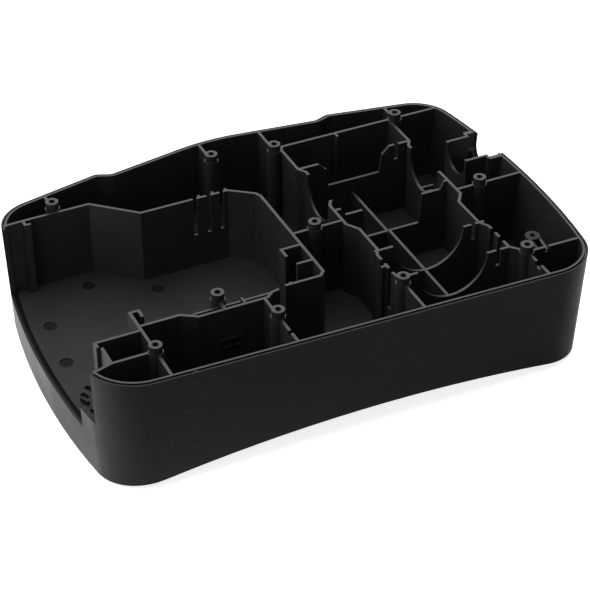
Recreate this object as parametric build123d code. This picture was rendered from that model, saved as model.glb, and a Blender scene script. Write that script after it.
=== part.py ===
"""Moulded base housing: one shell with a raised floor, a drafted skirt, ribs, walls and screw bosses.

Every height is measured from the rim plane, which is Z = 0 while the part is drawn. X runs along the
housing and Y across it, from the front wall to the back one. At the end the whole part is moved so that
its origin lies at the middle of its base.
"""
from build123d import *
import math
import os

# ---------------------------------------------------------------- outer shell, millimetres and degrees
left_crown = 143.2           # drawing origin to the crown of the left end, at the rim
left_crown_y = -8.5
right_crown = 141.3
right_crown_y = -12.6
end_radius = 440.0           # both end walls are shallow arcs
front_y = -95.3              # front wall, where it crosses X = 0
front_angle = -1.76
front_left_radius = 28.4
front_right_radius = 26.5
back_corner_radius = 23.8
left_draft = -1.7            # below zero where a wall leans inwards on its way down
right_draft = -4.4
side_draft = 0.8
wall = 3.0

back_y = 93.8                # outer corner of the left step in the back wall
back_left_angle = 12.2       # the two back panels slope down to the ends
back_right_angle = -10.2
left_step_x = -73.1
left_step_drop = 3.6         # each step leads into the recessed middle panel
right_step_x = 69.2
right_step_back = 1.9        # right step's corner behind the left one's
right_step_drop = 3.0
step_run = 8.0
step_radius = 6.0
nose_x = -3.7                # the middle panel folds over a large radius
nose_rise = 7.3
nose_radius = 119.0

floor_depth = 44.0
floor_thickness = 2.5
arch_x = 14.1                # the bottom edge is one long arch
arch_depth = 52.2
arch_radius = 832.5
skirt_spare = 12.0           # the drafted sides are drawn this far below the lowest point of the arch
outside = 20.0               # how far a wall or cut runs past the shell before it is trimmed
above = 10.0                 # how far a cut that is open at the rim runs past it
root = 0.5                   # how far a wall or boss is sunk into the floor
overlap = 1.0                # how far a wall runs into the next one, or a cut past the face it opens

# ---------------------------------------------------------------- rim, tongue and groove
lip_width = 0.9
groove_width = 0.9
groove_depth = 1.6
lip_drop = 0.45
rim_tab_x = -91.0            # small key that bridges the groove in the front wall
rim_tab_width = 2.0

# ---------------------------------------------------------------- open left end
opening_front_y = -71.8
opening_back_y = 65.2
opening_reach = 21.0         # how far in from the crown the opening is cut
sill_fall = 0.4              # sill top below the floor
sill_flat = 1.4
channel_width = 2.5          # channel between the sill and the floor, with a sloped outer side
channel_depth = 1.5
sill_step_top = 31.6         # the sill climbs to this depth beside the front corner
sill_step_length = 15.6

# ---------------------------------------------------------------- walls and ribs
rib = 1.6
thin_rib = 1.3
slot_width = 2.2             # wire slots in the back wall of the bay
slot_depth = 23.5
slot_key_offset = 3.0
slot_key_length = 2.5
wire_gap_depth = 24.0        # gaps for wires in the side walls of the motor bay
rim_notch_depth = 3.0        # small notches in the ribs along the front wall

# bay at the open end
bay_back_y = 67.0
bay_back_fall = 1.0          # the back wall drops this much towards the outer shell
bay_back_left_x = -121.0
bay_back_right_x = -87.0
bay_step_x = -65.0
bay_step_y = 46.9
bay_corner_x = -14.0
bay_corner_run = 12.5
bay_corner_drop = 9.4
bay_right_x = 0.0
bay_right_y = 34.0
bay_front_y = -46.7
bay_front_chamfer = 3.0
bay_front_right_x = -23.0
bay_front_break_x = -27.0    # the front wall stops short here and goes on a little further forward
bay_front_bend_x = -31.5
bay_break_drop = 1.3         # the far part starts this much further forward and slopes on
bay_bend_drop = 2.3
bay_recess_y = -52.0
bay_recess_right_x = -35.0
bay_recess_left_x = -73.0
bay_front_left_x = -103.0
bay_shoulder_x = -81.0
bay_ledge_drop = 2.0         # top of the thin wall before the recess
bay_slots_x = (-33.5, -25.5, -17.8)
bay_tie_x = -47.3
bay_key_x = -19.5
bay_hook_y = -17.0           # hooked rib and straight rib on the right wall of the bay
bay_hook_length = 11.5
bay_hook_return = 7.0
bay_rib_y = -32.0
bay_rib_length = 9.5
rail_setback = 18.7          # guide rail at the back of the opening, in from the left crown
rail_length = 4.4
rail_return = 3.1

# small box beside the front left corner
box_setback = 15.8           # outer wall of the box, in from the left crown
box_right_x = -102.9
box_back_y = -50.1
box_jog = 1.7
box_jog_y = -54.2
box_front_y = -68.5
box_jog_drop = 18.0
box_tie_run = 13.5
box_tie_fall = 4.0
box_hook_y = -34.3
box_hook_run = 4.7
box_hook_return = 5.7
box_tab_length = 2.5
box_tab_rise = 2.3
box_tab_drop = 8.0

# latch beside the sill: slots in the floor, placed from the outer wall of the box, and a short stop
latch_slots = ((1.6, -29.6), (-2.4, -34.4), (-3.4, -48.2))
latch_slot_width = 3.0
latch_slot_length = 5.4
latch_slot_angle = 24.0
latch_slot_depth = 1.7
latch_stop_y = -39.4
latch_stop_offset = 4.2
latch_stop_length = 5.6
latch_stop_height = 2.4

# motor bay
motor_left_x = 29.6
motor_left_mid_x = 32.4
motor_left_front_x = 34.0
motor_left_nose_x = 31.6
motor_right_x = 98.8
motor_right_mid_x = 96.2
motor_right_front_x = 94.0
motor_right_nose_x = 97.0
motor_back_y = 74.7
motor_back_chamfer = 2.8     # corner between the left side wall and the back wall
motor_back_chamfer_run = 2.0
motor_shelf_y = 49.3         # where the side walls first step in
motor_axis_x = 63.5
jog = 4.3                    # length along Y of each sloped jog in the side walls
motor_taper_run = 7.0        # longer slopes before and behind the back saddle
motor_nose_run = 5.0
saddle_back_y = -39.5
saddle_front_y = -66.0
saddle_back_radius = 21.0
saddle_front_radius = 20.5
saddle_slot_x = 90.5
saddle_slot_width = 2.5
saddle_slot_depth = 9.6
shaft_y = 27.8
shaft_radius = 14.0
shaft_depth = 5.4
keel_x = 62.2
keel_depth = 21.0
pump_rib_y = 4.0
notch_slope = 1.5
back_notch_x = (48.0, 80.0)
back_notch_depth = 15.6
back_shoulder_x = (46.0, 82.0)
back_shoulder_depth = 4.0
back_land_x = (42.0, 86.0)
pump_notch_x = (48.0, 81.4)
pump_notch_depth = 22.8
pump_shoulder_x = (36.5, 94.0)
pump_shoulder_depth = 4.5
pump_land_x = (33.5, 96.5)
wire_gap_low_y = -60.0       # front edge and width of the two wire gaps in each side wall
wire_gap_high_y = -51.5
wire_gap_width = 4.0
wire_key_y = -53.5
back_key_x = 64.5
back_key_length = 4.0
middle_wall_y = -6.2
finger_ys = (24.6, 29.3)     # two low fingers on the outside of the right motor wall
finger_length = 8.0
finger_drop = 19.3

# window in the front wall of the bay
window_x = -56.1
window_width = 11.0
window_height = 4.0
window_depth = 20.8
window_frame = 0.8

# ---------------------------------------------------------------- cable port in the right end
port_y = 28.0
port_width = 24.0
port_depth = 18.0
port_plate_setback = 23.3    # inner plate, in from the right crown
port_plate_radius = 9.8
port_plate_depth = 13.7
port_plate_y = (17.0, 39.0)
port_block = 3.6             # thick ends of the wall on both sides of the notch
port_block_setback = 10.8
port_step = 0.9              # the notch is wider by this on its inner side
port_step_setback = 4.2

# ---------------------------------------------------------------- screw bosses
boss_radius = 3.5
boss_base_radius = 4.0
boss_rise = 4.2
screw_radius = 1.5
screw_depth = 26.0
bosses = {
    "back_left": (-106.0, 71.7),
    "back_mid": (-10.0, 78.7),
    "back_motor": (25.9, 73.0),
    "back_right": (102.4, 74.0),
    "centre": (13.1, -6.3),
    "right": (112.9, -6.3),
    "front_left": (-102.9, -69.0),
    "front_mid": (-37.0, -68.6),
    "front_motor": (32.5, -70.1),
    "front_right": (103.4, -73.3),
    "bay": (-58.5, -42.3),
}
low_boss = (114.2, -61.0)
low_boss_drop = 1.0
low_boss_left_foot = (110.4, -74.0)
low_boss_right_foot = (115.6, -74.0)
low_web_drop = 2.2
front_right_wall_y = -74.0
front_right_wall_fall = 1.0
front_mid_lean = 0.5         # sideways lean of two of the ribs along the front
front_right_lean = 0.4
front_right_notch_x = 114.9
front_notch_ys = {
    "front_mid": (-84.5, -82.0),
    "front_motor": (-85.5, -83.0),
    "front_right": (-88.0, -83.4),
}

# ---------------------------------------------------------------- floor marks
ejector_radius = 3.75
ejector_sink = 0.4
ejector_marks = ((-94.6, 54.6), (-61.5, 35.6), (-126.0, 29.0), (-129.0, -4.4))
drain_hole = (-22.5, 75.5)
drain_radius = 1.75

# ---------------------------------------------------------------- places worked out from the sizes above
upwards = (Align.CENTER, Align.CENTER, Align.MIN)
far_left = -left_crown - outside
far_right = right_crown + outside
far_front = front_y - outside
far_back = back_y + nose_rise + outside
opening_x = opening_reach - left_crown
rail_x = rail_setback - left_crown
box_left_x = box_setback - left_crown
port_plate_x = right_crown - port_plate_setback
port_block_x = right_crown - port_block_setback


def tan(angle):
    """Tangent of an angle in degrees."""
    return math.tan(math.radians(angle))


def arch_bottom(x):
    """Depth of the arched bottom edge at a place along the housing."""
    return arch_depth + arch_radius - math.sqrt(arch_radius ** 2 - (x - arch_x) ** 2)


def end_x(side, y, depth):
    """X of the left (-1) or right (+1) end wall at a place across the housing and a depth."""
    crown, crown_y, draft = left_crown, left_crown_y, left_draft
    if side > 0:
        crown, crown_y, draft = right_crown, right_crown_y, right_draft
    bow = end_radius - math.sqrt(end_radius ** 2 - (y - crown_y) ** 2)
    return side * (crown + depth * tan(draft) - bow)


def corner(side, line, depth):
    """Sharp corner between an end wall and a straight wall whose Y is line(x)."""
    y = 0.0
    for _ in range(12):
        y = line(end_x(side, y, depth))
    return (end_x(side, y, depth), y)


def outline(depth, inset=0.0):
    """Face bounded by the outer walls at a depth below the rim, drawn in by inset."""
    spread = depth * tan(side_draft)
    left_out = (left_step_x, back_y + spread)
    right_out = (right_step_x, back_y + right_step_back + spread)

    def front(x):
        return front_y - spread + x * tan(front_angle)

    def back_left(x):
        return left_out[1] + (x - left_step_x) * tan(back_left_angle)

    def back_right(x):
        return right_out[1] + (x - right_step_x) * tan(back_right_angle)

    front_left = corner(-1, front, depth)
    front_right = corner(1, front, depth)
    back_right_end = corner(1, back_right, depth)
    back_left_end = corner(-1, back_left, depth)
    right_in = (right_step_x - step_run, right_out[1] - right_step_drop)
    left_in = (left_step_x + step_run, left_out[1] - left_step_drop)
    nose = (nose_x, left_out[1] + nose_rise)
    right_middle = (end_x(1, right_crown_y, depth), right_crown_y)
    left_middle = (end_x(-1, left_crown_y, depth), left_crown_y)
    edges = [
        Line(front_left, front_right),
        ThreePointArc(front_right, right_middle, back_right_end),
        Polyline(back_right_end, right_out, right_in, nose, left_in, left_out, back_left_end),
        ThreePointArc(back_left_end, left_middle, front_left),
    ]
    face = make_face(Curve() + edges)
    rounds = [(front_left, front_left_radius), (front_right, front_right_radius), (nose, nose_radius)]
    rounds += [(point, back_corner_radius) for point in (back_right_end, back_left_end)]
    rounds += [(point, step_radius) for point in (right_out, right_in, left_in, left_out)]
    for point, radius in rounds:
        face = fillet(face.vertices().sort_by_distance(Vector(*point))[0], radius)
    if inset:
        face = offset(face, amount=-inset)
    return Pos(0, 0, -depth) * face


def drafted(top, bottom, inset=0.0):
    """Solid between two depths whose sides follow the drafted outer walls, drawn in by inset."""
    return loft([outline(bottom, inset).face(), outline(top, inset).face()], ruled=True)


def box(x0, x1, y0, y1, z0, z1):
    """Axis-aligned block between two opposite corners."""
    return Pos((x0 + x1) / 2, (y0 + y1) / 2, (z0 + z1) / 2) * Box(x1 - x0, y1 - y0, z1 - z0)


def strip(points, thickness):
    """Face of a wall that follows a line of points, with mitred corners and square ends."""
    path = [Vector(*point) for point in points]
    runs = [(b - a).normalized() for a, b in zip(path, path[1:])]
    sides = []
    for i, point in enumerate(path):
        before = runs[max(i - 1, 0)]
        after = runs[min(i, len(runs) - 1)]
        across = Vector(-before.Y - after.Y, before.X + after.X).normalized()
        reach = thickness / 2 / across.dot(Vector(-after.Y, after.X))
        sides.append((point + across * reach, point - across * reach))
    ring = [left for left, _ in sides] + [right for _, right in reversed(sides)]
    return make_face(Polyline(*ring, close=True))


def upright(points, thickness=rib, drop=0.0):
    """Wall that stands on the floor and follows a line of points, up to the rim less a drop."""
    foot = floor_depth + root
    return Pos(0, 0, -foot) * extrude(strip(points, thickness), foot - drop)


def cross_plate(profile, y, thickness=rib):
    """Plate across X at a given Y, with an outline of (x, z) points."""
    face = make_face(Polyline(*profile, close=True))
    return Plane((0, y + thickness / 2, 0), x_dir=(1, 0, 0), z_dir=(0, -1, 0)) * extrude(face, thickness)


def gap(x, y, along_x, along_y, depth):
    """Cutter for a square gap that is open at the rim, centred on a place."""
    return box(x - along_x / 2, x + along_x / 2, y - along_y / 2, y + along_y / 2, -depth, above)


def u_slot_x(y, z, radius, x, length):
    """Cutter for a slot along X that is round at its bottom and open at the rim."""
    round_end = Pos(x, y, z) * Rot(0, 90, 0) * Cylinder(radius, length)
    return round_end + box(x - length / 2, x + length / 2, y - radius, y + radius, z, above)


def u_slot_y(x, z, radius, y, length):
    """Cutter for a slot along Y that is round at its bottom and open at the rim."""
    round_end = Pos(x, y, z) * Rot(90, 0, 0) * Cylinder(radius, length)
    return round_end + box(x - radius, x + radius, y - length / 2, y + length / 2, z, above)


def open_end():
    """Cutter for the opening in the left end wall, down to the sill."""
    return box(far_left, opening_x, opening_front_y, opening_back_y, -floor_depth, above)


def port_notch():
    """Cutter for the round-bottomed notch in the right end wall, wider on its inner side."""
    radius = port_width / 2
    z = radius - port_depth
    start_x = port_block_x - overlap
    step_x = right_crown - port_step_setback
    notch = u_slot_x(port_y, z, radius, (start_x + far_right) / 2, far_right - start_x)
    return notch + u_slot_x(port_y, z, radius + port_step, (start_x + step_x) / 2, step_x - start_x)


def shell():
    """Drafted outer walls with a floor between an upper tray and a hollow, arched underside."""
    mould_depth = arch_bottom(-left_crown) + skirt_spare
    outer = drafted(0, mould_depth)
    tray = drafted(-overlap, floor_depth, wall)
    underside = drafted(floor_depth + floor_thickness, mould_depth + overlap, wall)
    span = far_back - far_front
    arch = Pos(arch_x, 0, -arch_depth - arch_radius) * Rot(90, 0, 0) * Cylinder(arch_radius, span)
    return outer - tray - underside - arch - open_end() - port_notch()


def rim_cut():
    """Cutter that lowers the outer lip and leaves a keyed groove between it and the inner lip."""
    lip = outline(0, -overlap) - outline(0, lip_width)
    groove = outline(0, lip_width) - outline(0, lip_width + groove_width)
    cut = Pos(0, 0, -groove_depth) * extrude(groove, above)
    cut -= box(rim_tab_x - rim_tab_width / 2, rim_tab_x + rim_tab_width / 2, far_front, opening_front_y,
               -groove_depth, -lip_drop)
    return cut + Pos(0, 0, -lip_drop) * extrude(lip, above)


def sill_cut():
    """Cutter that lowers the sill of the opening and sinks the channel between it and the floor."""
    inset = sill_flat + channel_width
    top = floor_depth + sill_fall
    bottom = top + channel_depth
    lowered = drafted(floor_depth - overlap, top, -overlap)
    sloped = loft([outline(bottom, inset).face(), outline(top, sill_flat).face()], ruled=True)
    core = extrude(Pos(0, 0, floor_depth - bottom - overlap) * outline(floor_depth, inset), bottom)
    span = box(far_left, opening_x, opening_front_y, opening_back_y, -bottom, above)
    return (lowered + sloped - core) & span


def sill_step():
    """Low wall that carries the sill up beside the front corner."""
    foot = floor_depth + overlap
    step = drafted(sill_step_top, foot) - drafted(sill_step_top - overlap, foot + overlap, wall)
    step_end_y = opening_front_y + sill_step_length
    return step & box(far_left, opening_x, opening_front_y - overlap, step_end_y, -foot, 0)


def bay_walls():
    """Walls round the large open bay at the left, with its slots, guide and ribs."""
    corner_end = (bay_corner_x + bay_corner_run, bay_step_y - bay_corner_drop)
    walls = upright([(far_left, bay_back_y - bay_back_fall), (bay_back_left_x, bay_back_y),
                     (bay_back_right_x, bay_back_y), (bay_step_x, bay_step_y), (bay_corner_x, bay_step_y),
                     corner_end, (bay_right_x, bay_right_y)])
    walls += upright([(bay_right_x, bay_right_y + overlap), (bay_right_x, bay_front_y + bay_front_chamfer),
                      (bay_right_x - bay_front_chamfer, bay_front_y), (bay_front_right_x, bay_front_y)])
    walls += upright([(bay_front_break_x, bay_front_y - bay_break_drop),
                      (bay_front_bend_x, bay_front_y - bay_bend_drop), (bay_recess_right_x, bay_recess_y),
                      (bay_recess_left_x, bay_recess_y), (bay_shoulder_x, bay_front_y),
                      (bay_front_left_x, bay_front_y)])
    walls += upright([(bay_recess_left_x - overlap, bay_front_y), (bay_front_break_x, bay_front_y)],
                     thin_rib, bay_ledge_drop)
    for x in bay_slots_x:
        walls -= gap(x, bay_step_y, slot_width, 4 * rib, slot_depth)
        key_x = x + slot_key_offset
        walls += upright([(key_x, bay_step_y), (key_x, bay_step_y + slot_key_length)], thin_rib)
    walls += upright([(bay_tie_x, bay_recess_y), (bay_tie_x, bay_front_y)], thin_rib)
    walls += upright([(bay_key_x, bay_front_y), (bay_key_x, bay_front_y + rib)], thin_rib)
    rail_y = bay_back_y - rail_length
    walls += upright([(rail_x, bay_back_y), (rail_x, rail_y), (rail_x + rail_return, rail_y)])
    hook_x = bay_right_x - bay_hook_length
    hook_end_y = bay_hook_y - bay_hook_return
    walls += upright([(bay_right_x, bay_hook_y), (hook_x, bay_hook_y), (hook_x, hook_end_y)])
    walls += upright([(bay_right_x, bay_rib_y), (bay_right_x - bay_rib_length, bay_rib_y)])
    return walls - bay_window()


def bay_window():
    """Cutter for the small window in the wall along the front of the bay."""
    return Pos(window_x, bay_recess_y, -window_depth) * Box(window_width, 3 * rib, window_height)


def window_rim():
    """Thin raised frame round the small window."""
    thickness = rib / 2 + window_frame
    frame = Box(window_width + 2 * window_frame, thickness, window_height + 2 * window_frame)
    return Pos(window_x, bay_recess_y - thickness / 2, -window_depth) * frame - bay_window()


def corner_box():
    """Walls of the small box beside the front left corner, with its hook and the rib to the corner."""
    inner_x = box_left_x + box_jog
    jog_end_y = box_jog_y - rib / 2
    walls = upright([(box_right_x, box_back_y), (box_left_x, box_back_y), (box_left_x, box_jog_y)])
    walls += upright([(inner_x, jog_end_y), (inner_x, box_front_y), (box_right_x, box_front_y)])
    walls += upright([(box_left_x, box_jog_y), (inner_x, jog_end_y)], thin_rib, box_jog_drop)
    walls += upright([(inner_x, box_front_y), (inner_x - box_tie_run, box_front_y - box_tie_fall)])
    walls += upright([(box_right_x, bay_front_y), (box_right_x, far_front)])
    hook_end_y = box_hook_y - box_hook_return
    walls += upright([(box_right_x, bay_front_y), (box_right_x, box_hook_y),
                      (box_right_x + box_hook_run, box_hook_y), (box_right_x + box_hook_run, hook_end_y)])
    tab_x = box_right_x - box_tab_length
    walls += upright([(tab_x, bay_front_y), (tab_x, bay_front_y + box_tab_rise),
                      (box_right_x, bay_front_y + box_tab_rise)], thin_rib, box_tab_drop)
    return walls


def latch_cut():
    """Cutter for the slanted latch slots in the floor beside the opening."""
    slot = Rectangle(latch_slot_width, latch_slot_length, rotation=latch_slot_angle)
    slots = Sketch() + [Pos(box_left_x + x, y) * slot for x, y in latch_slots]
    return Pos(0, 0, -floor_depth - latch_slot_depth) * extrude(slots, latch_slot_depth + root)


def latch_stop():
    """Short slanted rib on the floor between the latch slots."""
    block = Box(rib, latch_stop_length, latch_stop_height + root, align=upwards)
    place = Pos(box_left_x - latch_stop_offset, latch_stop_y, -floor_depth - root)
    return place * Rot(0, 0, latch_slot_angle) * block


def motor_walls():
    """Side walls of the motor bay, with round slots for its shaft and gaps for wires."""
    shaft_end_y = shaft_y - shaft_radius
    taper_y = middle_wall_y - jog
    taper_end_y = taper_y - motor_taper_run
    nose_end_y = saddle_back_y - motor_nose_run
    walls = upright([(motor_left_x, motor_back_y - motor_back_chamfer + root),
                     (motor_left_x, motor_shelf_y), (motor_left_mid_x, motor_shelf_y - jog),
                     (motor_left_mid_x, shaft_end_y), (motor_left_x, shaft_end_y - jog),
                     (motor_left_x, taper_y), (motor_left_front_x, taper_end_y),
                     (motor_left_front_x, saddle_back_y + rib), (motor_left_nose_x, nose_end_y + rib),
                     (motor_left_nose_x, wire_gap_low_y), bosses["front_motor"],
                     (bosses["front_motor"][0], far_front)])
    walls += upright([(motor_right_x, motor_back_y), (motor_right_x, motor_shelf_y),
                      (motor_right_mid_x, motor_shelf_y - jog), (motor_right_mid_x, shaft_end_y + 2 * rib),
                      (motor_right_x, shaft_end_y - rib / 2), (motor_right_x, taper_y),
                      (motor_right_front_x, taper_end_y), (motor_right_front_x, saddle_back_y),
                      (motor_right_nose_x, nose_end_y), (motor_right_nose_x, saddle_front_y),
                      bosses["front_right"]])
    across = 4 * rib
    for x in (motor_left_mid_x, motor_right_mid_x):
        walls -= u_slot_x(shaft_y, -shaft_depth, shaft_radius, x, across)
    for x in (motor_left_nose_x, motor_right_nose_x):
        for y in (wire_gap_low_y, wire_gap_high_y):
            walls -= gap(x, y + wire_gap_width / 2, across, wire_gap_width, wire_gap_depth)
    walls += upright([(motor_left_nose_x - 2 * rib, wire_key_y), (motor_left_nose_x, wire_key_y)])
    finger_end_x = motor_right_mid_x + finger_length
    for y in finger_ys:
        walls += upright([(motor_right_mid_x, y), (finger_end_x, y)], thin_rib, finger_drop)
    return walls


def stepped_rib(y, land_x, shoulder_x, shoulder_depth, notch_x, notch_depth):
    """Rib across the motor bay whose top steps down from its ends to a low middle."""
    foot = -floor_depth - root
    profile = [(motor_left_x, foot), (motor_left_x, 0), (land_x[0], 0), (shoulder_x[0], -shoulder_depth),
               (notch_x[0] - notch_slope, -shoulder_depth), (notch_x[0], -notch_depth),
               (notch_x[1], -notch_depth), (notch_x[1] + notch_slope, -shoulder_depth),
               (shoulder_x[1], -shoulder_depth), (land_x[1], 0), (motor_right_x, 0), (motor_right_x, foot)]
    return cross_plate(profile, y)


def saddle(y, radius):
    """Rib across the motor bay with a half-round seat for the motor's body."""
    foot = -floor_depth - root
    profile = [(motor_left_nose_x, foot), (motor_left_nose_x, 0), (motor_right_nose_x, 0),
               (motor_right_nose_x, foot)]
    return cross_plate(profile, y) - u_slot_y(motor_axis_x, 0, radius, y, 4 * rib)


def motor_ribs():
    """Ribs across the motor bay: two round saddles, two stepped ribs and a low keel between them."""
    ribs = stepped_rib(motor_shelf_y, back_land_x, back_shoulder_x, back_shoulder_depth,
                       back_notch_x, back_notch_depth)
    ribs += stepped_rib(pump_rib_y, pump_land_x, pump_shoulder_x, pump_shoulder_depth,
                        pump_notch_x, pump_notch_depth)
    ribs += saddle(saddle_back_y, saddle_back_radius) + saddle(saddle_front_y, saddle_front_radius)
    for y in (motor_shelf_y, saddle_back_y, saddle_front_y):
        ribs -= gap(saddle_slot_x, y, saddle_slot_width, 4 * rib, saddle_slot_depth)
    keel_split_y = pump_rib_y - rib
    ribs += upright([(keel_x, saddle_front_y - rib / 2), (keel_x, keel_split_y)], rib, keel_depth)
    ribs += upright([(keel_x, keel_split_y), (keel_x, motor_shelf_y)], rib, pump_notch_depth)
    return ribs


def cross_walls():
    """Straight walls that tie the bosses and the motor bay to the outer shell."""
    walls = upright([(motor_left_x, motor_back_y - motor_back_chamfer),
                     (motor_left_x + motor_back_chamfer_run, motor_back_y), (far_right, motor_back_y)])
    walls += upright([(back_key_x, motor_back_y), (back_key_x, motor_back_y - back_key_length)], thin_rib)
    walls += upright([(bay_right_x, middle_wall_y), (motor_left_x, middle_wall_y)])
    walls += upright([(motor_right_x, middle_wall_y), (far_right, middle_wall_y)])
    walls += upright([(bosses["front_right"][0], front_right_wall_y),
                      (far_right, front_right_wall_y - front_right_wall_fall)])
    walls -= gap(front_right_notch_x, front_right_wall_y, slot_width, 4 * rib, rim_notch_depth)
    walls += upright([(bosses["front_mid"][0], bay_recess_y), bosses["front_mid"],
                      (bosses["front_mid"][0] + front_mid_lean, far_front)])
    walls += upright([bosses["front_right"], (bosses["front_right"][0] + front_right_lean, far_front)])
    for name in ("back_left", "back_mid", "back_motor", "back_right"):
        x, y = bosses[name]
        walls += upright([(x, y), (x, far_back)])
    walls += upright([bosses["bay"], (bosses["bay"][0], bay_recess_y)])
    for name, (near_y, far_y) in front_notch_ys.items():
        walls -= gap(bosses[name][0], (near_y + far_y) / 2, 4 * rib, far_y - near_y, rim_notch_depth)
    return walls


def low_boss_webs():
    """Two webs that tie the low boss to the wall in front of it."""
    x, y = low_boss
    reach = boss_base_radius - rib / 2
    webs = upright([(x - reach, y), low_boss_left_foot], rib, low_boss_drop)
    return webs + upright([(x + reach, y), low_boss_right_foot], thin_rib, low_web_drop)


def port_walls():
    """Walls of the cable port: two side ribs, thick ends at the outer wall and an inner plate."""
    front_rib_y, back_rib_y = port_plate_y
    walls = upright([(port_plate_x, front_rib_y), (port_plate_x, back_rib_y)])
    middle_y = (front_rib_y + back_rib_y) / 2
    saddle_z = port_plate_radius - port_plate_depth
    walls -= u_slot_x(middle_y, saddle_z, port_plate_radius, port_plate_x, 4 * rib)
    for y, end_y in ((front_rib_y, front_rib_y - port_block), (back_rib_y, back_rib_y + port_block)):
        walls += upright([(port_plate_x - rib / 2, y), (port_block_x, y), (port_block_x, end_y)])
    foot = -floor_depth - root
    reach = port_width / 2 + port_block
    blocks = box(port_block_x, far_right, port_y - reach, port_y - port_width / 2, foot, 0)
    blocks += box(port_block_x, far_right, port_y + port_width / 2, port_y + reach, foot, 0)
    return walls + (blocks - port_notch())


def boss(x, y, top):
    """Round screw boss on the floor; where it stands proud of the rim, its top is narrower."""
    foot = floor_depth + root
    post = Pos(x, y, -foot) * Cylinder(boss_base_radius, foot + min(top, 0), align=upwards)
    if top > 0:
        post += Pos(x, y, 0) * Cylinder(boss_radius, top, align=upwards)
    return post


def screw_hole(x, y, top):
    """Blind screw hole down from the top of a boss."""
    return Pos(x, y, top - screw_depth) * Cylinder(screw_radius, screw_depth, align=upwards)


def housing():
    """The whole moulding."""
    inner = bay_walls() + corner_box() + motor_walls() + motor_ribs() + cross_walls() + port_walls()
    inner += low_boss_webs()
    body = shell() + (inner & drafted(0, floor_depth + overlap, wall / 2))
    body = body - sill_cut() + sill_step() - rim_cut() - latch_cut() + window_rim() + latch_stop()
    tops = [(x, y, boss_rise) for x, y in bosses.values()] + [(*low_boss, -low_boss_drop)]
    for x, y, top in tops:
        body += boss(x, y, top)
    for x, y, top in tops:
        body -= screw_hole(x, y, top)
    for x, y in ejector_marks:
        body -= Pos(x, y, -floor_depth) * Cylinder(ejector_radius, 2 * ejector_sink)
    body -= Pos(*drain_hole, -floor_depth) * Cylinder(drain_radius, 4 * floor_thickness)
    return body


drawn = housing()
size = drawn.bounding_box()
shift = Vector(-size.center().X, -size.center().Y, -size.min.Z)
base_housing = Pos(shift) * drawn

os.makedirs("parts", exist_ok=True)
export_step(base_housing, "parts/base_housing.step")
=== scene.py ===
"""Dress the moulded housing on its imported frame, and set its floor, light and camera."""

import logging
import math
from dataclasses import dataclass
from enum import Enum

import bmesh
import bpy
from mathutils import Matrix, Vector
from mathutils.bvhtree import BVHTree


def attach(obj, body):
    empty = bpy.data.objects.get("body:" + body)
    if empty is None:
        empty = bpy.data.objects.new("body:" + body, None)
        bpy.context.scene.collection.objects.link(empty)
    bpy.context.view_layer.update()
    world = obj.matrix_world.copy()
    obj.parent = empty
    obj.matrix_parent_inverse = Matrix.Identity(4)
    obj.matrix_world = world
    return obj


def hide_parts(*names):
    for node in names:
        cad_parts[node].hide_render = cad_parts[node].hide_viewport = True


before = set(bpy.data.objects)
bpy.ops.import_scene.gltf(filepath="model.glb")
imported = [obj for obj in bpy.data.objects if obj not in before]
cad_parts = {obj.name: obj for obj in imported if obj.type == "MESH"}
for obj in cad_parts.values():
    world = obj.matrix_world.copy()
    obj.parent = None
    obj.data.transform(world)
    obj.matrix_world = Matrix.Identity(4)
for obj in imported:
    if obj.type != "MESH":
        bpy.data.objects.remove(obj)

MM = 0.001
log = logging.getLogger("housing")


class Socket(Enum):
    """Kinds of socket that the shader groups use."""

    NUMBER = "NodeSocketFloat"


class Zone(Enum):
    """Moulded surfaces of the housing that came off different parts of the tool, with their own grain
    and gloss; their tones also carry painted light: the inner skin and the rib tops are drawn lighter
    than the outer skin, as painted light and a painted highlight, and the recesses darker than the
    inner skin, as painted shade.
    """

    OUTER = "outer_skin"
    INNER = "inner_skin"
    TOPS = "rib_tops"
    RECESS = "recesses"


def srgb(level: float) -> float:
    """Turn a display level into a linear value.

    Args:
        level: Display level from 0 to 255.

    Returns:
        The linear value from 0 to 1.
    """
    share = level / 255
    return share / 12.92 if share <= 0.04045 else ((share + 0.055) / 1.055) ** 2.4


def grey(level: float, blue: float = 1.0) -> tuple[float, float, float, float]:
    """Return an opaque grey of one display level, with its blue scaled."""
    value = srgb(level)
    return (value, value, value * blue, 1.0)


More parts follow.
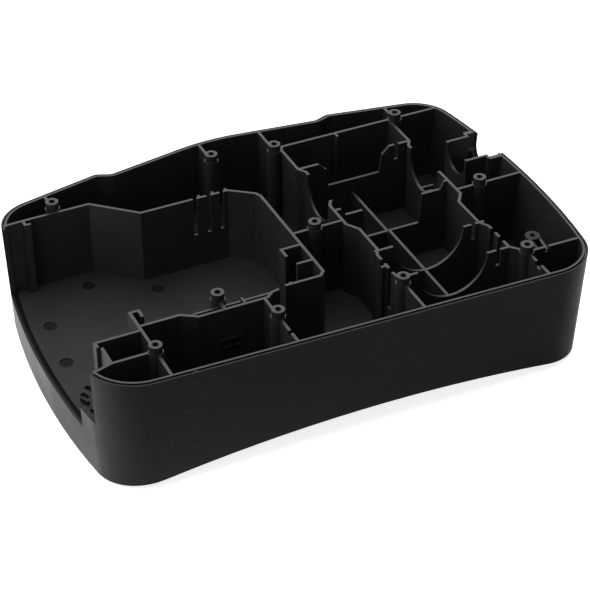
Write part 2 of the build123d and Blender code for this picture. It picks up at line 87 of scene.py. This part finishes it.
class Tree:
    """A small helper that adds and joins nodes in one node tree."""

    def __init__(self, tree: bpy.types.NodeTree) -> None:
        """Keep the tree to build in."""
        self.tree = tree

    def node(self, kind: str, **values: object) -> bpy.types.Node:
        """Add one node and set its properties.

        Args:
            kind: Blender's name for the node type.
            values: Properties of the node, by name.

        Returns:
            The new node.
        """
        made = self.tree.nodes.new(kind)
        for name, value in values.items():
            setattr(made, name, value)
        return made

    def feed(self, target: bpy.types.NodeSocket, source: object) -> None:
        """Link a socket into another, or set a plain value on it."""
        if isinstance(source, bpy.types.NodeSocket):
            self.tree.links.new(source, target)
        else:
            target.default_value = source

    def math(self, operation: str, first: object, second: object = 0.0) -> bpy.types.NodeSocket:
        """Add a Math node.

        Args:
            operation: Blender's name for the operation.
            first: A socket or number.
            second: A socket or number.

        Returns:
            The result's socket.
        """
        made = self.node("ShaderNodeMath", operation=operation)
        self.feed(made.inputs[0], first)
        self.feed(made.inputs[1], second)
        return made.outputs[0]

    def mix(self, amount: object, first: object, second: object) -> bpy.types.NodeSocket:
        """Mix two colours.

        Args:
            amount: Share of the second colour.
            first: A colour or socket.
            second: A colour or socket.

        Returns:
            The mixed colour's socket.
        """
        made = self.node("ShaderNodeMix", data_type="RGBA")
        self.feed(made.inputs[0], amount)
        self.feed(made.inputs[6], first)
        self.feed(made.inputs[7], second)
        return made.outputs[2]

    def span(
        self, value: object, low: float, high: float, to_low: object = 0.0, to_high: object = 1.0
    ) -> bpy.types.NodeSocket:
        """Map a range of values to another, clamped.

        Args:
            value: Socket to map.
            low: Value that gives to_low.
            high: Value that gives to_high.
            to_low: Result at low.
            to_high: Result at high.

        Returns:
            The mapped socket.
        """
        made = self.node("ShaderNodeMapRange")
        for place, source in enumerate((value, low, high, to_low, to_high)):
            self.feed(made.inputs[place], source)
        return made.outputs[0]


def shader_group(
    name: str, inputs: dict[str, tuple[Socket, object]], outputs: dict[str, Socket]
) -> tuple[Tree, bpy.types.Node, bpy.types.Node]:
    """Start a shader node group with named sockets.

    Args:
        name: Name of the group.
        inputs: Kind and default of each input, by name.
        outputs: Kind of each output, by name.

    Returns:
        The tree's helper, the group's input node and its output node.
    """
    tree = bpy.data.node_groups.new(name, "ShaderNodeTree")
    for label, (kind, default) in inputs.items():
        made = tree.interface.new_socket(label, in_out="INPUT", socket_type=kind.value)
        made.default_value = default
    for label, kind in outputs.items():
        tree.interface.new_socket(label, in_out="OUTPUT", socket_type=kind.value)
    helper = Tree(tree)
    return helper, helper.node("NodeGroupInput"), helper.node("NodeGroupOutput")


def spark_grain_group() -> bpy.types.NodeTree:
    """Build the fine pitted grain that a spark-eroded mould leaves.

    Returns:
        A group that gives the grain's height, its even pits and a slow mottle.
    """
    helper, given, result = shader_group(
        "spark_grain",
        {
            "Grain Size": (Socket.NUMBER, 0.4),
            "Pit Spacing": (Socket.NUMBER, 0.7),
            "Mottle Size": (Socket.NUMBER, 30.0),
        },
        {"Height": Socket.NUMBER, "Pits": Socket.NUMBER, "Mottle": Socket.NUMBER},
    )
    place = helper.node("ShaderNodeTexCoord").outputs["Object"]

    def per_metre(label: str) -> bpy.types.NodeSocket:
        """Return the scale that gives a texture the size in one input."""
        return helper.math("DIVIDE", 1 / MM, given.outputs[label])

    fine = helper.node("ShaderNodeTexNoise")
    helper.feed(fine.inputs["Vector"], place)
    helper.feed(fine.inputs["Scale"], per_metre("Grain Size"))
    helper.feed(fine.inputs["Detail"], 2.0)
    helper.feed(fine.inputs["Roughness"], 0.6)
    pits = helper.node("ShaderNodeTexVoronoi", feature="F1")
    helper.feed(pits.inputs["Vector"], place)
    helper.feed(pits.inputs["Scale"], per_metre("Pit Spacing"))
    helper.feed(pits.inputs["Randomness"], 0.35)
    slow = helper.node("ShaderNodeTexNoise")
    helper.feed(slow.inputs["Vector"], place)
    helper.feed(slow.inputs["Scale"], per_metre("Mottle Size"))
    helper.feed(slow.inputs["Detail"], 3.0)
    pit_mask = helper.span(pits.outputs["Distance"], 0.2, 0.6, 1.0, 0.0)
    rough = helper.math("SUBTRACT", fine.outputs["Fac"], helper.math("MULTIPLY", pit_mask, 0.5))
    helper.feed(result.inputs["Height"], rough)
    helper.feed(result.inputs["Pits"], pit_mask)
    helper.feed(result.inputs["Mottle"], slow.outputs["Fac"])
    return helper.tree


def dust_group() -> bpy.types.NodeTree:
    """Build the sparse pale specks that settle on dark plastic.

    Returns:
        A group that gives a mask of specks.
    """
    helper, given, result = shader_group(
        "dust_specks",
        {"Speck Spacing": (Socket.NUMBER, 3.0), "Speck Size": (Socket.NUMBER, 0.14)},
        {"Mask": Socket.NUMBER},
    )
    place = helper.node("ShaderNodeTexCoord").outputs["Object"]
    cells = helper.node("ShaderNodeTexVoronoi", feature="F1")
    helper.feed(cells.inputs["Vector"], place)
    helper.feed(cells.inputs["Scale"], helper.math("DIVIDE", 1 / MM, given.outputs["Speck Spacing"]))
    split = helper.node("ShaderNodeSeparateColor")
    helper.feed(split.inputs[0], cells.outputs["Color"])
    reach = helper.math("MULTIPLY", given.outputs["Speck Size"], split.outputs[1])
    near = helper.math("LESS_THAN", cells.outputs["Distance"], reach)
    chosen = helper.math("GREATER_THAN", split.outputs[0], 0.3)
    helper.feed(result.inputs["Mask"], helper.math("MULTIPLY", near, chosen))
    return helper.tree


def rub_group() -> bpy.types.NodeTree:
    """Build the faint, long rub marks of handling and of the mould's draw.

    Returns:
        A group that gives a mask of marks, drawn out along one direction.
    """
    helper, given, result = shader_group(
        "rub_marks",
        {"Mark Length": (Socket.NUMBER, 18.0), "Mark Width": (Socket.NUMBER, 0.5)},
        {"Mask": Socket.NUMBER},
    )
    place = helper.node("ShaderNodeTexCoord").outputs["Object"]
    along = helper.math("DIVIDE", 1 / MM, given.outputs["Mark Length"])
    across = helper.math("DIVIDE", 1 / MM, given.outputs["Mark Width"])
    scale = helper.node("ShaderNodeCombineXYZ")
    helper.feed(scale.inputs[0], along)
    helper.feed(scale.inputs[1], across)
    helper.feed(scale.inputs[2], across)
    drawn = helper.node("ShaderNodeMapping", vector_type="POINT")
    helper.feed(drawn.inputs["Vector"], place)
    helper.feed(drawn.inputs["Scale"], scale.outputs[0])
    drawn.inputs["Rotation"].default_value = (0.0, 0.0, 0.35)
    field_of_marks = helper.node("ShaderNodeTexNoise")
    helper.feed(field_of_marks.inputs["Vector"], drawn.outputs[0])
    helper.feed(field_of_marks.inputs["Scale"], 1.0)
    helper.feed(field_of_marks.inputs["Detail"], 2.0)
    helper.feed(result.inputs["Mask"], helper.span(field_of_marks.outputs["Fac"], 0.58, 0.74))
    return helper.tree


@dataclass(frozen=True)
class BlackPlastic:
    """One finish of the black moulded plastic, with lengths in millimetres; its colour level also
    carries the painted light or shade of its zone.
    """

    name: str
    colour_level: float = 17.5
    dust_level: float = 105.0
    roughness: float = 0.42
    roughness_spread: float = 0.05
    grain_size: float = 0.35
    grain_depth: float = 0.010
    pit_spacing: float = 0.7
    # Share by which the grain's pits are drawn darker: painted shade.
    pit_shade: float = 0.04
    mottle_size: float = 30.0
    mottle_share: float = 0.08
    dust_amount: float = 0.36
    rub_amount: float = 0.3
    rub_level: float = 34.0
    specular: float = 0.14
    blue: float = 1.0

    def build(self, groups: dict[str, bpy.types.NodeTree]) -> bpy.types.Material:
        """Build the material.

        Args:
            groups: The shared shader groups, by name.

        Returns:
            The finished material.
        """
        material = bpy.data.materials.new(self.name)
        material.use_nodes = True
        helper = Tree(material.node_tree)
        shader = material.node_tree.nodes["Principled BSDF"]
        surface = helper.node("ShaderNodeGroup", node_tree=groups["grain"])
        helper.feed(surface.inputs["Grain Size"], self.grain_size)
        helper.feed(surface.inputs["Pit Spacing"], self.pit_spacing)
        helper.feed(surface.inputs["Mottle Size"], self.mottle_size)
        specks = helper.node("ShaderNodeGroup", node_tree=groups["dust"])
        rubs = helper.node("ShaderNodeGroup", node_tree=groups["rubs"])
        dusty = helper.math("MULTIPLY", specks.outputs["Mask"], self.dust_amount)
        rubbed = helper.math("MULTIPLY", rubs.outputs["Mask"], self.rub_amount)
        tint = helper.mix(
            helper.span(surface.outputs["Mottle"], 0.35, 0.65),
            grey(self.colour_level * (1 - self.mottle_share), self.blue),
            grey(self.colour_level * (1 + self.mottle_share), self.blue),
        )
        # The grain's pits are drawn darker: painted shade in the pits, over their real dip in the
        # bump.
        pit_shaded = helper.mix(
            surface.outputs["Pits"], tint, grey(self.colour_level * (1 - self.pit_shade), self.blue)
        )
        worn = helper.mix(rubbed, pit_shaded, grey(self.rub_level))
        helper.feed(shader.inputs["Base Color"], helper.mix(dusty, worn, grey(self.dust_level)))
        low = self.roughness - self.roughness_spread
        high = self.roughness + self.roughness_spread
        rough = helper.span(surface.outputs["Mottle"], 0.3, 0.7, low, high)
        polished = helper.math("MULTIPLY", rubbed, self.roughness_spread)
        helper.feed(shader.inputs["Roughness"], helper.math("SUBTRACT", rough, polished))
        shader.inputs["Specular IOR Level"].default_value = self.specular
        bump = helper.node("ShaderNodeBump")
        helper.feed(bump.inputs["Height"], surface.outputs["Height"])
        helper.feed(bump.inputs["Distance"], self.grain_depth * MM)
        helper.feed(shader.inputs["Normal"], bump.outputs["Normal"])
        return material


# The colour levels of the zones are painted light and shade over one black plastic; roughness, grain,
# dust and rubs are the finish.
FINISHES_AND_PAINTED_LIGHT: dict[Zone, BlackPlastic] = {
    Zone.OUTER: BlackPlastic("plastic_outer"),
    # The inner skin's colour is lifted far above the outer skin's, as painted light on the level,
    # inner and enclosed faces; its rougher, coarser grain is its finish.
    Zone.INNER: BlackPlastic(
        "plastic_inner_painted_light",
        colour_level=43.0,
        roughness=0.5,
        grain_size=0.5,
        pit_shade=0.15,
        dust_amount=0.3,
        specular=0.1,
        blue=1.07,
    ),
    # The tops' lighter colour is a painted highlight; their stronger specular, lower roughness and
    # finer grain are their finish.
    Zone.TOPS: BlackPlastic(
        "plastic_tops_highlight", colour_level=36.0, roughness=0.4, specular=0.36, grain_depth=0.006
    ),
    # A darker tone in pin marks, in the channel and in the slots beside the sill: painted shade.
    Zone.RECESS: BlackPlastic(
        "plastic_recess_shade", colour_level=26.0, roughness=0.6, specular=0.05, dust_amount=0.2
    ),
}


@dataclass
class Housing:
    """The one moulded piece, dressed over a merged copy of its CAD mesh."""

    node: str = "base_housing"
    body: str = "root"
    slot: str = "housing"
    rim_level: float = 66.8168 * MM
    rib_zone: float = 26.0 * MM
    lip_band: tuple[float, float] = (0.3 * MM, 1.25 * MM)
    recess_band: tuple[float, float] = (44.5 * MM, 46.0 * MM)
    recess_end_x: float = -100.0 * MM
    pin_places: tuple[tuple[float, float], ...] = (
        (-94.29, 54.04),
        (-61.19, 35.04),
        (-125.69, 28.44),
        (-128.69, -4.96),
    )
    pin_reach: float = 1.5 * MM
    pin_depth: float = 44.4 * MM
    pin_slack: float = 0.1 * MM
    skin_reach: tuple[float, float] = (118.0 * MM, 80.0 * MM)
    foot_height: float = 16.0 * MM
    top_tilt: float = 0.25
    recess_tilt: float = 0.3
    pin_tilt: float = 0.9
    level_tilt: float = 0.5
    merge_distance: float = 0.002 * MM
    flat_angle: float = math.radians(0.4)
    sharp_angle: float = math.radians(28)
    edge_radius: float = 0.22 * MM
    edge_slot: int = 1
    normal_weight: int = 60

    def merged_copy(self) -> bpy.types.Object:
        """Copy the CAD mesh into a new object, with its doubles merged and its flats joined.

        Returns:
            The new object, linked to the scene.
        """
        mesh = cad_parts[self.node].data.copy()
        mesh.name = "housing_shell"
        mesh.materials.clear()
        work = bmesh.new()
        work.from_mesh(mesh)
        bmesh.ops.remove_doubles(work, verts=work.verts, dist=self.merge_distance)
        bmesh.ops.dissolve_limit(
            work, angle_limit=self.flat_angle, verts=work.verts, edges=work.edges
        )
        work.to_mesh(mesh)
        work.free()
        made = bpy.data.objects.new("housing_shell", mesh)
        bpy.context.scene.collection.objects.link(made)
        return made

    def round_edges(self, piece: bpy.types.Object) -> None:
        """Give every sharp edge the small radius that a mould leaves, in a slot of its own."""
        bevel = piece.modifiers.new("edge_radius", "BEVEL")
        bevel.width = self.edge_radius
        bevel.segments = 2
        bevel.limit_method = "ANGLE"
        bevel.angle_limit = self.sharp_angle
        bevel.use_clamp_overlap = True
        bevel.material = self.edge_slot
        normals = piece.modifiers.new("even_shading", "WEIGHTED_NORMAL")
        normals.mode = "FACE_AREA"
        normals.weight = self.normal_weight
        normals.keep_sharp = True
        for face in piece.data.polygons:
            face.use_smooth = True
        graph = bpy.context.evaluated_depsgraph_get()
        plain = bpy.data.meshes.new_from_object(piece.evaluated_get(graph))
        piece.modifiers.clear()
        piece.data = plain

    def is_recess(self, centre: Vector, normal: Vector, depth: float) -> bool:
        """Tell whether a face is in a pin mark, or in the channel or a slot beside the sill, where
        the darker tone is painted shade.

        Args:
            centre: Middle of the face.
            normal: Direction of the face.
            depth: Distance of the face below the rim.

        Returns:
            True for a recess.
        """
        low, high = self.recess_band
        if normal.z > self.recess_tilt and low < depth < high and centre.x < self.recess_end_x:
            return True
        pins = (Vector(place) * MM for place in self.pin_places)
        return normal.z > self.pin_tilt and any(
            (centre.xy - pin).length < self.pin_reach and abs(depth - self.pin_depth) < self.pin_slack
            for pin in pins
        )

    def zone_of(self, face: bpy.types.MeshPolygon, tree: BVHTree) -> Zone:
        """Tell which zone a face is in, and so whether it gets the painted highlight, the painted
        shade, the lighter inner tone or the outer skin's own colour.

        Args:
            face: Face of the dressed mesh.
            tree: Search tree of the same mesh.

        Returns:
            The face's zone.
        """
        centre, normal = face.center, face.normal
        depth = self.rim_level - centre.z
        is_lip = self.lip_band[0] < depth < self.lip_band[1]
        is_edge = face.material_index == self.edge_slot
        # Up-facing faces near the rim, and the up-facing rounded edges along the lip, take the
        # painted highlight.
        if normal.z > self.top_tilt and depth < self.rib_zone and is_lip == is_edge:
            return Zone.TOPS
        # Pin marks, the channel and the slots beside the sill take the painted shade.
        if self.is_recess(centre, normal, depth):
            return Zone.RECESS
        # Level faces, faces inside the walls and faces that look onto the housing itself take the
        # lighter inner tone, painted light.
        reach_x, reach_y = self.skin_reach
        is_level = abs(normal.z) > self.level_tilt and not is_lip and centre.z > self.foot_height
        if is_level or (abs(centre.x) < reach_x and abs(centre.y) < reach_y):
            return Zone.INNER
        hit = tree.ray_cast(centre + normal * self.edge_radius, normal)
        return Zone.OUTER if hit[0] is None else Zone.INNER

    def build(self) -> bpy.types.Object:
        """Build the dressed piece, hang it on its body and hide its CAD node.

        Returns:
            The finished piece.
        """
        groups = {"grain": spark_grain_group(), "dust": dust_group(), "rubs": rub_group()}
        piece = self.merged_copy()
        zones = list(Zone)
        for zone in zones:
            piece.data.materials.append(FINISHES_AND_PAINTED_LIGHT[zone].build(groups))
        self.round_edges(piece)
        corners = [vertex.co for vertex in piece.data.vertices]
        tree = BVHTree.FromPolygons(corners, [face.vertices[:] for face in piece.data.polygons])
        for face in piece.data.polygons:
            face.material_index = zones.index(self.zone_of(face, tree))
        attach(piece, self.body)
        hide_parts(self.node)
        log.info("%s: %d faces", piece.name, len(piece.data.polygons))
        return piece


@dataclass
class SillStep:
    """Low wall that carries the sill up beside the front corner, with lengths in millimetres."""

    node: str = "base_housing"
    body: str = "root"
    slot: str = "housing"
    rim_level: float = 66.8168
    near_y: float = -72.36
    far_y: float = -56.76
    top: float = 31.6
    foot: float = 44.6
    wall: float = 3.0
    probe_depths: tuple[float, float] = (46.5, 50.0)
    root_depth: float = 1.2
    root_inset: float = 0.15
    slope_span: float = 0.4
    slices: int = 10
    inner_tilt: float = 0.3
    edge_radius: float = 0.22 * MM

    def outer_x(self, skin: BVHTree, y: float, depth: float) -> float:
        """Carry the end wall's outer side up from below the sill.

        Args:
            skin: Search tree of the CAD mesh.
            y: Place across the end wall.
            depth: Depth below the rim.

        Returns:
            The X of the outer side there.
        """
        found = []
        for probe in self.probe_depths:
            start = Vector((-1.0, y * MM, (self.rim_level - probe) * MM))
            found.append(skin.ray_cast(start, Vector((1, 0, 0)))[0].x / MM)
        high, low = self.probe_depths
        return found[0] + (found[1] - found[0]) * (depth - high) / (low - high)

    def section(self, skin: BVHTree, y: float, inset: float = 0.0) -> list[Vector]:
        """Return the four corners of the wall at a place across it."""
        rise = self.outer_x(skin, y + self.slope_span, self.foot) - self.outer_x(skin, y, self.foot)
        wall = self.wall * math.hypot(1.0, rise / self.slope_span)
        corners = []
        for depth, side in ((self.foot, 0), (self.foot, 1), (self.top, 1), (self.top, 0)):
            x = self.outer_x(skin, y, depth) + (wall - inset if side else inset)
            z = self.rim_level - depth - (inset if depth == self.top else 0.0)
            corners.append(Vector((x, y, z)) * MM)
        return corners

    def build(self) -> bpy.types.Object:
        """Build the step as a closed wall that follows the end wall's bend and draft.

        Returns:
            The finished piece.
        """
        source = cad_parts[self.node].data
        places = [vertex.co for vertex in source.vertices]
        skin = BVHTree.FromPolygons(places, [face.vertices[:] for face in source.polygons])
        length = self.far_y - self.near_y
        sections = [self.section(skin, self.near_y - self.root_depth, self.root_inset)]
        for place in range(self.slices + 1):
            sections.append(self.section(skin, self.near_y + length * place / self.slices))
        work = bmesh.new()
        rings = [[work.verts.new(corner) for corner in section] for section in sections]
        for near, far in zip(rings, rings[1:]):
            for side in range(4):
                after = (side + 1) % 4
                work.faces.new((near[side], near[after], far[after], far[side]))
        work.faces.new(rings[0])
        work.faces.new(rings[-1])
        bmesh.ops.recalc_face_normals(work, faces=work.faces)
        mesh = bpy.data.meshes.new("sill_step")
        work.to_mesh(mesh)
        work.free()
        for name in ("plastic_outer", "plastic_inner_painted_light"):
            mesh.materials.append(bpy.data.materials[name])
        # Faces that look inwards take the lighter inner tone, painted light.
        for face in mesh.polygons:
            face.material_index = int(face.normal.x > self.inner_tilt)
            face.use_smooth = True
        piece = bpy.data.objects.new("sill_step", mesh)
        bpy.context.scene.collection.objects.link(piece)
        bevel = piece.modifiers.new("edge_radius", "BEVEL")
        bevel.width = self.edge_radius
        bevel.segments = 2
        bevel.limit_method = "ANGLE"
        bevel.harden_normals = True
        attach(piece, self.body)
        log.info("%s: %d faces", piece.name, len(mesh.polygons))
        return piece


@dataclass
class WitnessRings:
    """Fine raised rings that the mould's pins leave round the boss holes and on the floor."""

    body: str = "root"
    slot: str = "housing"
    origin: tuple[float, float, float] = (0.3084, -0.5641, 66.8168)
    boss_rise: float = 4.2
    low_boss_drop: float = 1.0
    floor_depth: float = 44.0
    hole_radius: float = 1.75
    pin_radius: float = 3.75
    wire: float = 0.16
    ring_sides: int = 32
    wire_sides: int = 8
    bosses: tuple[tuple[float, float], ...] = (
        (-106.0, 71.7),
        (-10.0, 78.7),
        (25.9, 73.0),
        (102.4, 74.0),
        (13.1, -6.3),
        (112.9, -6.3),
        (-102.9, -69.0),
        (-37.0, -68.6),
        (32.5, -70.1),
        (103.4, -73.3),
        (-58.5, -42.3),
    )
    low_boss: tuple[float, float] = (114.2, -61.0)
    floor_pins: tuple[tuple[float, float], ...] = (
        (-94.6, 54.6),
        (-61.5, 35.6),
        (-126.0, 29.0),
        (-129.0, -4.4),
    )

    def tree(self) -> bpy.types.NodeTree:
        """Build the geometry nodes that set a ring of wire on every point.

        Returns:
            The node tree, with named inputs for its sizes.
        """
        made = bpy.data.node_groups.new("witness_ring", "GeometryNodeTree")
        face = made.interface
        face.new_socket("Geometry", in_out="INPUT", socket_type="NodeSocketGeometry")
        for label in ("Ring Radius", "Wire Radius"):
            face.new_socket(label, in_out="INPUT", socket_type="NodeSocketFloat")
        face.new_socket("Finish", in_out="INPUT", socket_type="NodeSocketMaterial")
        face.new_socket("Geometry", in_out="OUTPUT", socket_type="NodeSocketGeometry")
        helper = Tree(made)
        given = helper.node("NodeGroupInput")
        result = helper.node("NodeGroupOutput")
        ring = helper.node("GeometryNodeCurvePrimitiveCircle")
        helper.feed(ring.inputs["Resolution"], self.ring_sides)
        helper.feed(ring.inputs["Radius"], given.outputs["Ring Radius"])
        section = helper.node("GeometryNodeCurvePrimitiveCircle")
        helper.feed(section.inputs["Resolution"], self.wire_sides)
        helper.feed(section.inputs["Radius"], given.outputs["Wire Radius"])
        tube = helper.node("GeometryNodeCurveToMesh")
        helper.feed(tube.inputs["Curve"], ring.outputs["Curve"])
        helper.feed(tube.inputs["Profile Curve"], section.outputs["Curve"])
        spread = helper.node("GeometryNodeInstanceOnPoints")
        helper.feed(spread.inputs["Points"], given.outputs["Geometry"])
        helper.feed(spread.inputs["Instance"], tube.outputs["Mesh"])
        real = helper.node("GeometryNodeRealizeInstances")
        helper.feed(real.inputs["Geometry"], spread.outputs["Instances"])
        painted = helper.node("GeometryNodeSetMaterial")
        helper.feed(painted.inputs["Geometry"], real.outputs["Geometry"])
        helper.feed(painted.inputs["Material"], given.outputs["Finish"])
        helper.feed(result.inputs["Geometry"], painted.outputs["Geometry"])
        return made

    def rings(
        self,
        name: str,
        points: list[tuple[float, float, float]],
        sizes: tuple[float, float],
        finish: bpy.types.Material,
    ) -> bpy.types.Object:
        """Make one piece of equal rings.

        Args:
            name: Name of the piece.
            points: Middles of the rings, in the drawing's millimetres.
            sizes: Radius of the rings and of their wire, in millimetres.
            finish: Material of the rings, with the painted highlight or painted light of its zone.

        Returns:
            The finished piece.
        """
        origin = Vector(self.origin)
        mesh = bpy.data.meshes.new(name)
        mesh.from_pydata([(Vector(point) + origin) * MM for point in points], [], [])
        piece = bpy.data.objects.new(name, mesh)
        bpy.context.scene.collection.objects.link(piece)
        modifier = piece.modifiers.new("rings", "NODES")
        modifier.node_group = self.tree()
        values = {"Ring Radius": sizes[0] * MM, "Wire Radius": sizes[1] * MM, "Finish": finish}
        for item in modifier.node_group.interface.items_tree:
            if item.in_out == "INPUT" and item.name in values:
                modifier[item.identifier] = values[item.name]
        graph = bpy.context.evaluated_depsgraph_get()
        plain = bpy.data.meshes.new_from_object(piece.evaluated_get(graph))
        piece.modifiers.clear()
        piece.data = plain
        for polygon in plain.polygons:
            polygon.use_smooth = True
        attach(piece, self.body)
        log.info("%s: %d rings", name, len(points))
        return piece

    def build(self) -> None:
        """Build the rings on the bosses and on the floor."""
        shared_materials = bpy.data.materials
        tops = [(x, y, self.boss_rise) for x, y in self.bosses]
        tops.append((*self.low_boss, -self.low_boss_drop))
        # The boss rings take the tops' painted highlight.
        self.rings("boss_rings", tops, (self.hole_radius, self.wire), shared_materials["plastic_tops_highlight"])
        floor = [(x, y, -self.floor_depth) for x, y in self.floor_pins]
        # The floor pin rings take the inner skin's painted light.
        self.rings("pin_rings", floor, (self.pin_radius, self.wire), shared_materials["plastic_inner_painted_light"])


@dataclass
class Studio:
    """Floor, lamps, world and camera round the housing, with lengths in metres."""

    node: str = "base_housing"
    floor_size: float = 3.0
    floor_level: float = 225.0
    floor_glow: float = 0.82
    # Where and how strongly the floor glows for glossy rays only: a painted reflection.
    glow_band_y: tuple[float, float] = (-0.15, -0.09)
    glow_band_x: tuple[float, float] = (-0.08, 0.12)
    glow_left: float = 1.3
    glow_right: float = 0.25
    world_strength: float = 0.75
    world_gloss: float = 1.0
    world_front: float = 0.14
    world_band_y: tuple[float, float] = (-0.5, 0.35)
    floor_roughness: float = 0.9
    aim: tuple[float, float, float] = (0.0, 0.0, 0.03)
    eye: tuple[float, float, float] = (-0.36734, -0.80063, 0.66790)
    azimuth: float = math.radians(24.93)
    elevation: float = math.radians(36.24)
    roll: float = math.radians(-0.41)
    sensor: float = 36.0
    focal_share: float = 2011 / 590

    def rest_line(self) -> tuple[float, float, float, float]:
        """Find the line that the two low ends of the housing stand on.

        Returns:
            X and Z of the left foot, then X and Z of the right foot.
        """
        points = [vertex.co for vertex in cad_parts[self.node].data.vertices]
        left = min((point for point in points if point.x < 0), key=lambda point: point.z)
        slopes = [point for point in points if point.x > 0]
        right = min(slopes, key=lambda point: (point.z - left.z) / (point.x - left.x))
        return (left.x, left.z, right.x, right.z)

    def floor(self) -> bpy.types.Object:
        """Lay the pale floor under the housing, so that both its ends rest on it.

        Returns:
            The floor.
        """
        left_x, left_z, right_x, right_z = self.rest_line()
        slope = (right_z - left_z) / (right_x - left_x)
        mesh = bpy.data.meshes.new("floor")
        half = self.floor_size / 2
        corners = [
            (x, y, left_z + (x - left_x) * slope)
            for x, y in ((-half, -half), (half, -half), (half, half), (-half, half))
        ]
        mesh.from_pydata(corners, [], [(0, 1, 2, 3)])
        material = bpy.data.materials.new("floor_paint")
        material.use_nodes = True
        helper = Tree(material.node_tree)
        shader = material.node_tree.nodes["Principled BSDF"]
        shader.inputs["Base Color"].default_value = grey(self.floor_level)
        shader.inputs["Roughness"].default_value = self.floor_roughness
        output = material.node_tree.nodes["Material Output"]
        glow = helper.node("ShaderNodeEmission")
        direct, glossy = self.background_rays(helper)
        place = helper.node("ShaderNodeSeparateXYZ")
        helper.feed(place.inputs[0], helper.node("ShaderNodeTexCoord").outputs["Object"])
        # For glossy rays the floor also glows from just in front of the housing backwards, strongest
        # on the left and dim on the right, while the floor in front stays dark: a glowing patch that
        # is no lamp, painted reflection for the housing's left end and corner.
        behind = helper.span(place.outputs["Y"], *self.glow_band_y)
        left = helper.span(place.outputs["X"], *self.glow_band_x, self.glow_left, self.glow_right)
        painted_reflection = helper.math("MULTIPLY", glossy, helper.math("MULTIPLY", behind, left))
        shown = helper.math("MULTIPLY", helper.math("MAXIMUM", direct, painted_reflection), self.floor_glow)
        helper.feed(glow.inputs["Strength"], shown)
        both = helper.node("ShaderNodeAddShader")
        helper.feed(both.inputs[0], shader.outputs[0])
        helper.feed(both.inputs[1], glow.outputs[0])
        helper.feed(output.inputs["Surface"], both.outputs[0])
        mesh.materials.append(material)
        made = bpy.data.objects.new("floor", mesh)
        bpy.context.scene.collection.objects.link(made)
        return made

    def background_rays(
        self, helper: Tree
    ) -> tuple[bpy.types.NodeSocket, bpy.types.NodeSocket]:
        """Tell which rays show the white background.

        Args:
            helper: Tree to build in.

        Returns:
            A socket that is 1 for camera and transmission rays, and one for glossy rays.
        """
        path = helper.node("ShaderNodeLightPath").outputs
        direct = helper.math("MAXIMUM", path["Is Camera Ray"], path["Is Transmission Ray"])
        return direct, path["Is Glossy Ray"]

    def world(self) -> None:
        """Surround the housing with soft light that is white behind it and dim in front of it."""
        world = bpy.data.worlds.new("studio")
        bpy.context.scene.world = world
        world.use_nodes = True
        helper = Tree(world.node_tree)
        back = world.node_tree.nodes["Background"]
        helper.feed(back.inputs["Color"], (1, 1, 1, 1))
        direct, glossy = self.background_rays(helper)
        heading = helper.node("ShaderNodeSeparateXYZ")
        helper.feed(heading.inputs[0], helper.node("ShaderNodeTexCoord").outputs["Generated"])
        side = helper.span(heading.outputs["Y"], *self.world_band_y, self.world_front, 1.0)
        level = helper.span(glossy, 0, 1, self.world_strength, self.world_gloss)
        helper.feed(
            back.inputs["Strength"],
            helper.math("MAXIMUM", direct, helper.math("MULTIPLY", side, level)),
        )

    def lamp(self, name: str, place: Vector, aim: Vector, size: float, power: float) -> None:
        """Hang one square soft lamp.

        Args:
            name: Name of the lamp.
            place: Where it hangs.
            aim: Point that it faces.
            size: Its side.
            power: Its power in watts.
        """
        light = bpy.data.lights.new(name, "AREA")
        light.size = size
        light.energy = power
        made = bpy.data.objects.new(name, light)
        made.matrix_world = Matrix.Translation(place) @ (
            (aim - place).to_track_quat("-Z", "Y").to_matrix().to_4x4()
        )
        bpy.context.scene.collection.objects.link(made)

    def camera(self) -> None:
        """Set the camera at its place and angle."""
        azimuth, elevation, roll = self.azimuth, self.elevation, self.roll
        forward = Vector(
            (
                math.sin(azimuth) * math.cos(elevation),
                math.cos(azimuth) * math.cos(elevation),
                -math.sin(elevation),
            )
        )
        right = Vector((math.cos(azimuth), -math.sin(azimuth), 0.0))
        down = forward.cross(right)
        across = right * math.cos(roll) - down * math.sin(roll)
        below = right * math.sin(roll) + down * math.cos(roll)
        data = bpy.data.cameras.new("camera")
        data.sensor_width = self.sensor
        data.lens = self.focal_share * self.sensor
        made = bpy.data.objects.new("camera", data)
        turn = Matrix((across, -below, -forward)).transposed().to_4x4()
        made.matrix_world = Matrix.Translation(Vector(self.eye)) @ turn
        bpy.context.scene.collection.objects.link(made)
        bpy.context.scene.camera = made

    def build(self) -> None:
        """Set up the whole studio."""
        self.floor()
        self.world()
        middle = Vector(self.aim)
        self.lamp("key_top", Vector((-0.3, 0.2, 1.2)), middle, 1.8, 13.0)
        self.lamp("sheen_back", Vector((0.45, 0.95, 0.85)), middle, 1.3, 6.0)
        self.lamp("fill_left", Vector((-1.1, -0.45, 0.3)), middle, 0.6, 2.0)
        self.camera()


def main() -> None:
    """Build the housing and its studio."""
    logging.basicConfig(level=logging.INFO, format="%(name)s %(message)s")
    scene = bpy.context.scene
    scene.view_settings.view_transform = "Standard"
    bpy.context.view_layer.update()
    Housing().build()
    SillStep().build()
    WitnessRings().build()
    Studio().build()


if __name__ == "__main__":
    main()
